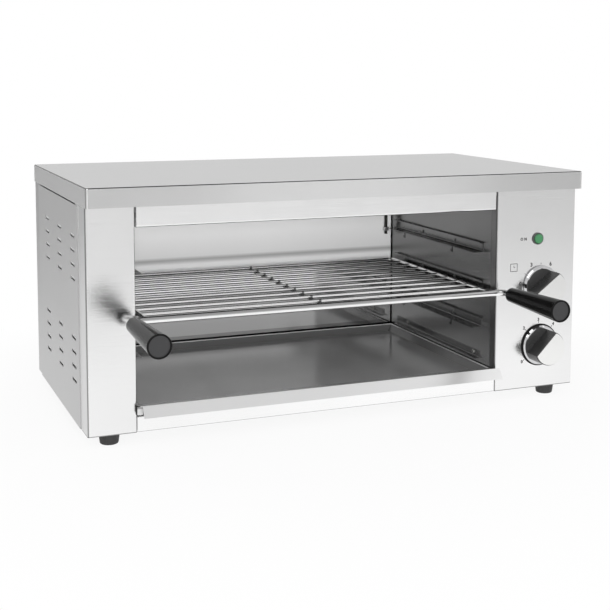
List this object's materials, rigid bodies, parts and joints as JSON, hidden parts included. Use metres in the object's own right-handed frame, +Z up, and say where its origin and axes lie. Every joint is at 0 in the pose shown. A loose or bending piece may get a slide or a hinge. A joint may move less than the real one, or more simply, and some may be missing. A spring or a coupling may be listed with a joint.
{
  "type": "salamander grill",
  "caption": "Countertop salamander grill: steel box open in front with a pull-out wire rack on black grips, a crumb tray, overhead heating elements and two side dials.",
  "frame": {"origin": "on the ground under the middle of the whole grill, grips included", "axes": "+X to the right seen from the front, +Y from the front to the back, +Z up"},
  "size_m": [0.61, 0.45, 0.282],
  "materials": {
    "casing_steel": "fine satin grain",
    "cavity_steel": "satin, a little darker",
    "tray_steel": "smooth, nearly mirror-like",
    "bright_wire": "bright plated wire",
    "element_sheath": "dull dark metal sheath",
    "screw_steel": "plain bright steel",
    "bulb_metal": "dull metal capsule",
    "black_plastic": "glossy black moulding",
    "grey_plastic": "satin grey disc",
    "chrome_trim": "polished plating",
    "brushed_cap": "brushed across",
    "switch_plastic": "plain moulding",
    "lamp_glass": "translucent green lens",
    "black_rubber": "matt black rubber"
  },
  "bodies": {
    "casing": {"back_panel": "casing_steel", "back_panel_screws": "screw_steel", "base_pan": "casing_steel", "bulb_clips": "screw_steel", "cable_inlet_bush": "black_rubber", "cavity_back_wall": "cavity_steel", "cavity_ceiling": "cavity_steel", "cavity_floor": "cavity_steel", "cavity_left_wall": "cavity_steel", "cavity_right_wall": "cavity_steel", "control_panel": "casing_steel", "element_glands": "screw_steel", "foot_screws": "screw_steel", "front_beam": "casing_steel", "front_bottom_rail": "casing_steel", "front_heating_element": "element_sheath", "front_left_foot": "black_rubber", "front_right_foot": "black_rubber", "lamp_body": "switch_plastic", "lamp_lens": "lamp_glass", "left_element_hanger": "cavity_steel", "left_front_column": "casing_steel", "left_lower_support": "cavity_steel", "left_middle_support": "cavity_steel", "left_runner_screws": "screw_steel", "left_side_panel": "casing_steel", "left_tray_runner": "cavity_steel", "left_upper_support": "cavity_steel", "lid_screws": "screw_steel", "lower_bezel_ring": "black_plastic", "rear_heating_element": "element_sheath", "rear_left_foot": "black_rubber", "rear_right_foot": "black_rubber", "right_element_hanger": "cavity_steel", "right_lower_support": "cavity_steel", "right_middle_support": "cavity_steel", "right_runner_screws": "screw_steel", "right_side_panel": "casing_steel", "right_tray_runner": "cavity_steel", "right_upper_support": "cavity_steel", "terminal_block": "switch_plastic", "thermostat_body": "switch_plastic", "thermostat_bulb": "bulb_metal", "timer_body": "switch_plastic", "top_cover": "casing_steel"},
    "rack": {"rack_front_rod": "bright_wire", "rack_grid": "bright_wire", "left_grip": "black_plastic", "left_grip_disc": "grey_plastic", "right_grip": "black_plastic", "right_grip_disc": "grey_plastic"},
    "tray": {"crumb_tray": "tray_steel"},
    "timer_dial": {"timer_shaft": "screw_steel", "timer_dial_core": "black_plastic", "timer_dial_skirt": "chrome_trim", "timer_dial_cap": "brushed_cap"},
    "thermostat_dial": {"thermostat_shaft": "screw_steel", "thermostat_dial_core": "black_plastic", "thermostat_dial_skirt": "chrome_trim", "thermostat_dial_cap": "brushed_cap"}
  },
  "joints": [
    {"name": "rack_slide", "type": "slide", "parent": "casing", "child": "rack", "axis": [0, -1, 0], "range_m": [0, 0.25]},
    {"name": "tray_slide", "type": "slide", "parent": "casing", "child": "tray", "axis": [0, -1, 0], "range_m": [0, 0.28]},
    {"name": "timer_turn", "type": "hinge", "parent": "casing", "child": "timer_dial", "pos_m": [0.2558, -0.0953, 0.1416], "axis": [0, 1, 0], "range_deg": [0, 300]},
    {"name": "thermostat_turn", "type": "hinge", "parent": "casing", "child": "thermostat_dial", "pos_m": [0.2558, -0.0953, 0.067], "axis": [0, 1, 0], "range_deg": [0, 270]}
  ]
}
